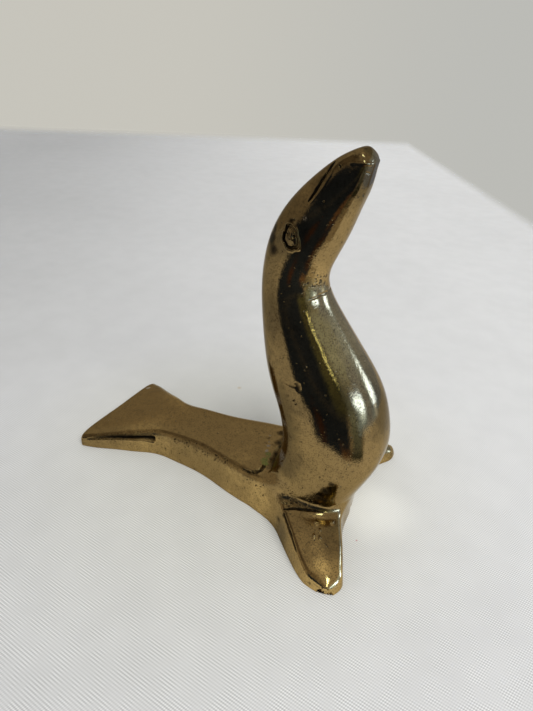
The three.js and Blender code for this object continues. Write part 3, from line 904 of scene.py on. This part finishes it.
PITTED = [(25.4, -16.2, 10.4, 1.9, 1), (27.4, -15.8, 10.4, 1.9, 1), (29.2, -15.7, 10.5, 1.9, 1),
          (31, -15.5, 10.5, 1.9, 1), (33.2, -15.3, 10.7, 1.6, 0.8), (-20.4, -9.2, 8.1, 2.2, 0.6),
          (-16.3, -9.2, 8.6, 2.4, 0.9), (-12, -9.4, 8.9, 2.6, 1),
          (-8, -9.5, 9.2, 2.8, 1), (-4.0, -10, 9.6, 2.8, 1), (0, -10.7, 10, 2.6, 1),
          (3.6, -11.2, 10.6, 2.4, 0.8), (7.6, -11.7, 11.2, 2.2, 0.6), (24, -5.5, 71, 3.6, 1),
          (26, -2.6, 70.6, 3, 0.9), (26.5, -15, 13, 5, 0.55), (33, -14, 13.5, 5, 0.5),
          (-42, -17, 3.6, 3, 0.6), (-38, -15, 4.4, 3.4, 0.6), (-34, -13, 5.6, 3.4, 0.6),
          (-30, -11.4, 7, 3.2, 0.6), (-26, -10, 7.9, 3, 0.6), (-23, -9.4, 8, 3, 0.6),
          (32.6, -2.6, 97, 2.2, 0.6), (15, -9, 60, 7, 0.45), (24, -13, 30, 9, 0.4)]
POLISH = [(25.3, -6.8, 63.5, 5, 1), (27, -7.7, 60, 5, 1), (28.9, -8.6, 56.3, 5, 1),
          (31.5, -8.9, 53, 5, 1), (33, -9.4, 50, 4, 1)]
CRUST = [(-46.6, 13.6, 4.9, 1.6, 1), (22.2, -7.4, 86.3, 1.5, 0.6),
         (12.4, -0.6, 12.9, 1.2, 0.9), (13.2, -2.7, 12.9, 1.2, 1),
         (11.8, 1.2, 12.8, 1.0, 0.8), (22.0, -10.6, 20.4, 5, 0.7), (20.3, -10.3, 27, 5, 0.7),
         (20.0, -10.2, 33, 5, 0.7), (19.6, -10.3, 39, 5, 0.6),
         (22.1, -11.2, 32.5, 3.5, 0.6), (21.4, -11.2, 27, 3.5, 0.6), (10.6, 4.2, 12.8, 1.0, 0.8)]


def tarnish_at(p):
    """How brown the brass is, blended from the places of the list."""
    spot = folded(p)
    total = np.zeros(len(p))
    weights = np.zeros(len(p))
    for x, y, z, amount in TARNISH:
        apart = ((spot - (x, y, z)) ** 2).sum(1)
        weight = (apart + 9) ** -2
        total += weight * amount
        weights += weight
    return total / weights


def spots_at(spots, p):
    """The share of the strongest of the spots, with ragged edges."""
    share = np.zeros(len(p))
    for x, y, z, reach, strength in spots:
        apart = np.linalg.norm(p - (x, y, z), axis=1) * (1 + 0.25 * ripple(p, 3.7))
        share = np.maximum(share, strength * bump(apart, reach))
    return share


# Numbers for each point of the mesh, which the material reads by name
paint = {
    # Grime in the hollows, together with painted shade in the fan's grooves and up the near armpit
    "grime_and_shade": np.maximum(dirt_at(points), spots_at(STAINS_AND_PAINTED_SHADE, points)),
    "tarnish": tarnish_at(points),
    "verdigris": spots_at(VERDIGRIS, points),
    "pitted": spots_at(PITTED, points),
    "crust": spots_at(CRUST, points),
    "polish": spots_at(POLISH, points),
}

# Node graphs

def operator(operation, swapped=False):
    """A method that puts a math node behind an arithmetic sign."""
    def method(self, other):
        pair = (other, self) if swapped else (self, other)
        return self.graph.math(operation, *pair)

    return method


class Num:
    """A number or vector in a node graph, with the usual arithmetic."""

    def __init__(self, graph, socket):
        self.graph = graph
        self.socket = socket

    __add__ = operator("ADD")
    __radd__ = operator("ADD", swapped=True)
    __sub__ = operator("SUBTRACT")
    __rsub__ = operator("SUBTRACT", swapped=True)
    __mul__ = operator("MULTIPLY")
    __rmul__ = operator("MULTIPLY", swapped=True)
    __truediv__ = operator("DIVIDE")


class Graph:
    """The node tree of a material or a world, emptied, with short names for its nodes."""

    def __init__(self, owner):
        owner.use_nodes = True
        self.tree = owner.node_tree
        self.tree.nodes.clear()

    def node(self, kind, settings=(), inputs=(), out=0):
        made = self.tree.nodes.new(kind)
        for name, value in dict(settings).items():
            setattr(made, name, value)
        for name, value in dict(inputs).items():
            self.put(made.inputs[name], value)
        return Num(self, made.outputs[out])

    def put(self, socket, value):
        if isinstance(value, Num):
            self.tree.links.new(value.socket, socket)
        elif isinstance(value, (tuple, list)) and len(value) == 3 and socket.type == "RGBA":
            socket.default_value = (*value, 1)
        else:
            socket.default_value = value

    def math(self, operation, a, b=0.0):
        return self.node("ShaderNodeMath", {"operation": operation}, {0: a, 1: b})

    def scale(self, vector, factor):
        return self.node("ShaderNodeVectorMath", {"operation": "SCALE"}, {
            0: vector, "Scale": factor})

    def length(self, x, y):
        return self.math("SQRT", x * x + y * y)

    def degrees(self, y, x):
        return self.math("ARCTAN2", y, x) * (180 / math.pi)

    def low(self, a, b):
        return self.math("MINIMUM", a, b)

    def high(self, a, b):
        return self.math("MAXIMUM", a, b)

    def step(self, value, start, end, low=0.0, high=1.0):
        """Goes smoothly from low to high as the value goes from start to end."""
        return self.node("ShaderNodeMapRange", {"interpolation_type": "SMOOTHSTEP"}, {
            "Value": value, "From Min": start, "From Max": end, "To Min": low, "To Max": high})

    def mix(self, share, a, b):
        return self.node("ShaderNodeMix", {"data_type": "RGBA"}, {0: share, 6: a, 7: b}, 2)

    def split(self, vector):
        made = self.tree.nodes.new("ShaderNodeSeparateXYZ")
        self.put(made.inputs[0], vector)
        return [Num(self, out) for out in made.outputs]

    def noise(self, vector, scale, detail=2.0, roughness=0.5, warp=0.0):
        return self.node("ShaderNodeTexNoise", {}, {
            "Vector": vector, "Scale": scale, "Detail": detail, "Roughness": roughness,
            "Distortion": warp})

    def cells(self, vector, scale):
        """Distance to the nearest of many scattered points."""
        return self.node("ShaderNodeTexVoronoi", {}, {"Vector": vector, "Scale": scale})

    def bump(self, height, strength, distance, normal=None):
        inputs = {"Height": height, "Strength": strength, "Distance": distance}
        if normal is not None:
            inputs["Normal"] = normal
        return self.node("ShaderNodeBump", {}, inputs)

    def layer(self, name):
        return self.node("ShaderNodeAttribute", {"attribute_name": name}, out=2)

    def finish(self, kind, shader):
        out = self.tree.nodes.new(kind)
        self.tree.links.new(shader.socket, out.inputs[0])

    def place(self, kind="Object"):
        return self.node("ShaderNodeTexCoord", out=kind)

    def path(self, name):
        return self.node("ShaderNodeLightPath", out=name)


# The brass

CLEAN_BRASS = (0.66, 0.45, 0.17)
AGED_BRASS = (0.37, 0.25, 0.10)
BROWN_BRASS = (0.17, 0.118, 0.052)
SPECK_BROWN = (0.07, 0.046, 0.02)
GRIME_AND_SHADE_BLACK = (0.018, 0.013, 0.008)
SALT_GREEN = (0.07, 0.10, 0.012)
CRUST_GREY = (0.21, 0.20, 0.18)
HOLE_BROWN = (0.03, 0.021, 0.012)
PIT_BROWN = (0.03, 0.02, 0.012)
MIRROR_TINT = (0.72, 0.68, 0.6, 1)


def brass_material(name, haze):
    """Cast brass that has gone brown in places. Haze is added to the roughness."""
    material = bpy.data.materials.new(name)
    graph = Graph(material)
    spot = graph.scale(graph.place(), 1 / MM)
    cloud = graph.noise(spot, 0.13, 3.0, 0.55, 0.6)
    patchy = graph.noise(spot, 0.6, 4.0, 0.62)
    grain = graph.noise(spot, 2.6, 3.0, 0.65)
    tarnish = graph.layer("tarnish") + (cloud - 0.5) * 0.5 + (patchy - 0.5) * 0.35
    colour = graph.mix(graph.step(tarnish, 0.0, 0.5), CLEAN_BRASS, AGED_BRASS)
    colour = graph.mix(graph.step(tarnish, 0.5, 1.0), colour, BROWN_BRASS)

    # What lies over the bare metal
    speck = graph.step(grain, 0.46, 0.66) * graph.step(patchy, 0.35, 0.65, 0.45, 1.0)
    # Grime and painted shade: dirt in the hollows, and painted shade in the fan's grooves and the
    # near armpit
    grime_and_shade = graph.step(graph.layer("grime_and_shade") + (grain - 0.5) * 0.4, 0.12, 0.85)
    green = graph.step(graph.layer("verdigris") * (grain * 2.4 - 0.4), 0.25, 0.7)
    crust = graph.step(graph.layer("crust") * (grain * 2.4 - 0.3), 0.25, 0.8)
    # Crowded holes where the metal is pitted, and a few lone pits anywhere
    crowded = graph.step(graph.layer("pitted") * (patchy + 0.5), 0.25, 0.75)
    holes = graph.step(graph.cells(spot, 1.3), 0.46, 0.28) * crowded
    pit = graph.step(graph.cells(spot, 0.7), 0.17, 0.09) * graph.step(patchy, 0.52, 0.6)
    for share, tint in (
        (speck * 0.72, SPECK_BROWN), (grime_and_shade, GRIME_AND_SHADE_BLACK), (green * 0.85, SALT_GREEN),
        (crust * 0.7, CRUST_GREY), (holes * 0.85, HOLE_BROWN), (pit, PIT_BROWN),
    ):
        colour = graph.mix(share, colour, tint)

    rough = graph.step(cloud, 0.3, 0.7, 0.045, 0.085) + haze
    rough = rough + speck * 0.08 + grime_and_shade * 0.28 + pit * 0.1 + (green + crust) * 0.4
    rough = rough + graph.layer("pitted") * 0.26 + holes * 0.15
    rough = rough * (1.0 - graph.layer("polish") * 0.6)
    bump = graph.bump(grain, 0.5, 0.00003)
    bump = graph.bump(patchy, 0.14, 0.0002, bump)
    bump = graph.bump(cloud, 0.12, 0.0008, bump)
    bump = graph.bump(1.0 - holes, 0.7, 0.0001, bump)
    bump = graph.bump(1.0 - pit, 0.9, 0.00015, bump)
    shader = graph.node("ShaderNodeBsdfPrincipled", {}, {
        "Base Color": colour, "Roughness": rough, "Normal": bump,
        "Specular Tint": MIRROR_TINT,
        "Metallic": graph.step(green + crust + grime_and_shade * 0.2, 0.1, 1.2, 1.0, 0.3)})
    graph.finish("ShaderNodeOutputMaterial", shader)
    return material


materials = {
    "brass": brass_material("brass_cast", 0.0),
    "brass_dull": brass_material("brass_aged", 0.10),
}


def add_object(name, data):
    made = bpy.data.objects.new(name, data)
    bpy.context.scene.collection.objects.link(made)
    return made


faces = [list(map(int, face)) for face in quads] + [list(map(int, ring)) for ring in rings]
centres = np.array([points[face].mean(0) for face in faces])
owner = piece_of(centres)
for number, (name, slot) in enumerate(PIECES):
    own = [face for face, piece in zip(faces, owner) if piece == number]
    used = np.unique(np.concatenate(own))
    fresh = np.full(len(points), -1)
    fresh[used] = np.arange(len(used))
    mesh = bpy.data.meshes.new(f"{name}_cast")
    corners = (points[used] + (0, MIDDLE, 0)) * MM
    own = [[int(fresh[corner]) for corner in face] for face in own]
    mesh.from_pydata(corners.tolist(), [], own)
    mesh.shade_smooth()
    mesh.normals_split_custom_set_from_vertices(normals[used].tolist())
    for layer, values in paint.items():
        mesh.attributes.new(layer, "FLOAT", "POINT").data.foreach_set("value", values[used])
    mesh.materials.append(materials[slot])
    piece = add_object(f"{name}_cast", mesh)
    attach(piece, "root")
    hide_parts(name)

# The room that the metal mirrors, by compass angle and height of the direction in degrees:
# from angle, to angle, from height, to height, softness, colour. Later patches cover earlier.
ROOM_BASE = (0.34, 0.31, 0.27)
ROOM_PATCHES = [
    (-180, 180, 27, 90, 3, (0.36, 0.34, 0.31)),
    (-172, -92, 27, 58, 5, (0.15, 0.13, 0.11)),
    (-50, 75, 22, 33, 4, (0.45, 0.56, 0.68)),
    (44, 104, 33, 72, 6, (0.24, 0.24, 0.23)),
    (-110, 20, 74, 90, 4, (0.62, 0.60, 0.54)),
    (-6, 84, -30, 26, 5, (0.40, 0.50, 0.78)),
    (-120, -42, -3, 24, 5, (0.024, 0.034, 0.066)),
    (-131, -42, -60, -1, 3, (0.022, 0.032, 0.062)),
    (-64, -34, 2, 25, 6, (0.115, 0.13, 0.09)),
    (-99, -89, -26, -13, 4, (0.055, 0.028, 0.022)),
    (-66, -48, -52, -38, 3, (0.07, 0.036, 0.025)),
    (58, 68, -25, -13, 2, (0.30, 0.26, 0.20)),
    (-62, -42, -30, -20, 3, (0.16, 0.10, 0.07)),
    (-40, 3, -31, -19, 3, (0.05, 0.06, 0.05)),
    (-38, -18, -10, 20, 5, (0.28, 0.36, 0.42)),
    (-36, -12, -20, -4, 4, (0.17, 0.21, 0.22)),
    (-21, 4, -9, 18.5, 3, (0.36, 0.54, 0.90)),
    (-12, 2, -2, 6, 2.5, (1.4, 2.1, 3.6)),
    (-10, 3.5, 5, 12, 1.5, (4.0, 6.2, 12.5)),
    (-19, 5, 10, 17, 1.5, (4.0, 6.2, 12.5)),
    (23, 46, -15, 18, 3, (0.46, 0.66, 1.1)),
    (18, 38, 19, 27, 3, (0.44, 0.58, 0.90)),
    (30, 38, -14, -1, 2, (1.3, 1.6, 2.2)),
    (30, 41, -2, 15.5, 1.3, (4.4, 6.7, 13.5)),
    (-45.6, -43.0, 21.9, 23.5, 0.4, (10.0, 12.0, 9.0)),
    (-58, -42, 56, 68, 2, (6.0, 7.6, 8.0)),
    (-52, -36, 30, 37, 2, (1.6, 1.9, 2.0)),
]


def directions(graph, vector):
    """Compass angle and height of a direction, in degrees."""
    x, y, z = graph.split(vector)
    height = graph.math("ARCSINE", graph.high(graph.low(z, 1.0), -1.0)) * (180 / math.pi)
    return graph.degrees(y, x), height


def between(graph, value, start, end, soft):
    """1 where the angle lies from start to end, with soft edges. 180 is no edge."""
    share = 1.0
    if start > -180:
        share = graph.step(value, start - soft, start + soft)
    if end < 180:
        share = graph.step(value, end + soft, end - soft) * share
    return share


def room_colour(graph, vector):
    turn, height = directions(graph, vector)
    colour = ROOM_BASE
    for left, right, bottom, top, soft, tint in ROOM_PATCHES:
        share = between(graph, height, bottom, top, soft) * between(graph, turn, left, right, soft)
        colour = graph.mix(share, colour, tint)
    return colour


# The cloth

# Its far corner, which the photo shows, and three corners outside the picture
CLOTH_CORNERS = [(-154, 729), (-4226, -1623), (-2500, -4500), (1577, -2214)]
# Metal sees the room instead of the cloth beyond this reach from a place by the flipper,
# between two compass angles, and also behind a slanting line on the seal's right
SHADE_CENTRE = (36.0, -13.0 + MIDDLE)
SHADE_REACH = 62.0
SHADE_FROM, SHADE_TO = -109, -6
SIDE_SLANT = 0.918
SIDE_OFFSET = 114.4
# The direction towards the window, and a patch of light beside the left flipper
WINDOW_X, WINDOW_Y = 0.887, 0.462
GLOW = (46.0, 2.0)
GLOW_REACH = 17.0
GLOW_COLOUR = (0.95, 0.95, 0.88)
CLOTH_WHITE = (1.0, 1.0, 0.985)
# Painted warm light that the brass throws onto the cloth close by
CLOTH_BY_BRASS = (1.0, 0.995, 0.88)
# Direction across the lines of the twill, mm from line to line, and strength
TWILL = [(-0.075, -0.997, 0.667, 0.2), (0.962, -0.275, 0.495, 0.13)]
# Specks on the cloth: place, reach and colour
MARKS = [((46.3, -10.8), 0.45, (0.45, 0.2, 0.2)), ((-21.3, 37.4), 1.3, (0.5, 0.44, 0.34))]


def cloth_material():
    material = bpy.data.materials.new("white_cloth")
    graph = Graph(material)
    place = graph.place()
    x, y, _ = graph.split(place)
    x = x / MM
    y = y / MM
    bump = graph.bump(graph.noise(place, 6.0, 3.0), 0.35, 0.01)
    # Brighter toward the window on the right
    across = x * WINDOW_X + y * WINDOW_Y
    ahead = y * WINDOW_X - x * WINDOW_Y
    shade = graph.step(across, -300.0, 130.0, 0.375, 0.6)
    shade = shade * graph.step(ahead, 150.0, 700.0, 1.0, 1.12)
    stain = graph.step(graph.noise(place, 9.0, 4.0), 0.35, 0.75)
    fine = graph.noise(place, 90.0, 3.0)
    shade = shade * (1.03 - stain * 0.05) * graph.step(fine, 0.2, 0.8, 0.975, 1.025)
    weave = 0.0
    for side_x, side_y, pitch, strength in TWILL:
        lines = graph.math("SINE", (x * side_x + y * side_y) * (2 * math.pi / pitch))
        weave = lines * strength + weave
    worn = graph.step(graph.noise(place, 260.0, 2.0), 0.35, 0.65, 0.35, 1.1)
    shade = shade * (weave * worn * graph.step(ahead, 90.0, -50.0) + 1.0)
    # Warmer near the brass: painted warm light, thrown onto the cloth by the metal
    by_brass = graph.step(graph.length(x, y), 95.0, 25.0, 0.0, 0.6)
    colour = graph.scale(graph.mix(by_brass, CLOTH_WHITE, CLOTH_BY_BRASS), shade)
    glow = graph.length(x - GLOW[0], y - GLOW[1])
    colour = graph.mix(graph.step(glow, GLOW_REACH, 2.0, 0.0, 0.4), colour, GLOW_COLOUR)
    for (mark_x, mark_y), reach, tint in MARKS:
        apart = graph.length(x - mark_x, y - mark_y)
        colour = graph.mix(graph.step(apart, reach, 0.0), colour, tint)
    cloth = graph.node("ShaderNodeBsdfPrincipled", {}, {
        "Base Color": colour, "Roughness": 0.85, "Normal": bump})
    out_x = x - SHADE_CENTRE[0]
    out_y = y - SHADE_CENTRE[1]
    beyond = graph.step(graph.length(out_x, out_y), SHADE_REACH - 2, SHADE_REACH + 3)
    beyond = beyond * between(graph, graph.degrees(out_y, out_x), SHADE_FROM, SHADE_TO, 3)
    side = graph.step(x * SIDE_SLANT - y - SIDE_OFFSET, -3.0, 6.0) * graph.step(x, 12.0, 2.0)
    beyond = graph.high(beyond, side) * graph.path("Is Glossy Ray")
    # The far edge of the table is out of focus
    corner_x = x - CLOTH_CORNERS[0][0]
    corner_y = y - CLOTH_CORNERS[0][1]
    left_edge = corner_x * -0.5 + corner_y * 0.866
    right_edge = corner_x * 0.862 + corner_y * 0.507
    edges = graph.high(graph.step(left_edge, -70.0, 0.0), graph.step(right_edge, -16.0, 4.0))
    beyond = graph.high(beyond, edges)
    clear = graph.node("ShaderNodeBsdfTransparent")
    mixed = graph.node("ShaderNodeMixShader", {}, {0: beyond, 1: cloth, 2: clear})
    graph.finish("ShaderNodeOutputMaterial", mixed)
    return material


sheet = bpy.data.meshes.new("floor")
sheet.from_pydata([(x * MM, y * MM, 0) for x, y in CLOTH_CORNERS], [], [(0, 1, 2, 3)])
sheet.materials.append(cloth_material())
add_object("floor", sheet)

# The world: the wall for the camera, the room for mirrored rays, even light for the rest

WALL_RIGHT = (0.50, 0.50, 0.47)
WALL_LEFT = (0.57, 0.555, 0.50)
SOFT_LIGHT = (0.56, 0.56, 0.56)

world = bpy.data.worlds.new("studio")
bpy.context.scene.world = world
graph = Graph(world)
vector = graph.place("Generated")
turn, height = directions(graph, vector)
wall = graph.mix(graph.step(turn, 95.0, 130.0), WALL_RIGHT, WALL_LEFT)
room = room_colour(graph, vector)
seen = graph.mix(graph.path("Is Glossy Ray"), SOFT_LIGHT, room)
seen = graph.mix(graph.path("Is Camera Ray"), seen, wall)
background = graph.node("ShaderNodeBackground", {}, {"Color": seen, "Strength": 1.0})
graph.finish("ShaderNodeOutputWorld", background)

# The window: a large soft lamp. The metal mirrors the room's bright patches instead of it.

WINDOW_PLACE = Vector((2050, -1440, 2990)) * MM
WINDOW_AIM = Vector((0, 0, 30)) * MM
WINDOW_SIZE = 2300
WINDOW_POWER = 140.0

window = bpy.data.lights.new("window_light", "AREA")
window.size = WINDOW_SIZE * MM
window.energy = WINDOW_POWER
lamp = add_object("window_light", window)
lamp.location = WINDOW_PLACE
lamp.rotation_mode = "QUATERNION"
lamp.rotation_quaternion = (WINDOW_AIM - WINDOW_PLACE).to_track_quat("-Z", "Y")
lamp.visible_glossy = False

# The camera

CAMERA_PLACE = (70.43, -115.61 + MIDDLE, 120.0)
CAMERA_TURN, CAMERA_TILT, CAMERA_ROLL = 27.5, 59.7, 2.5
CAMERA_LENS = 27.34

camera_data = bpy.data.cameras.new("camera")
camera_data.lens = CAMERA_LENS
camera_data.clip_start = 0.005
camera = add_object("camera", camera_data)
bpy.context.scene.camera = camera
camera.matrix_world = (
    Matrix.Translation(Vector(CAMERA_PLACE) * MM)
    @ Matrix.Rotation(math.radians(CAMERA_TURN), 4, "Z")
    @ Matrix.Rotation(math.radians(CAMERA_TILT), 4, "X")
    @ Matrix.Rotation(math.radians(CAMERA_ROLL), 4, "Z")
)

bpy.context.scene.view_settings.view_transform = "Standard"
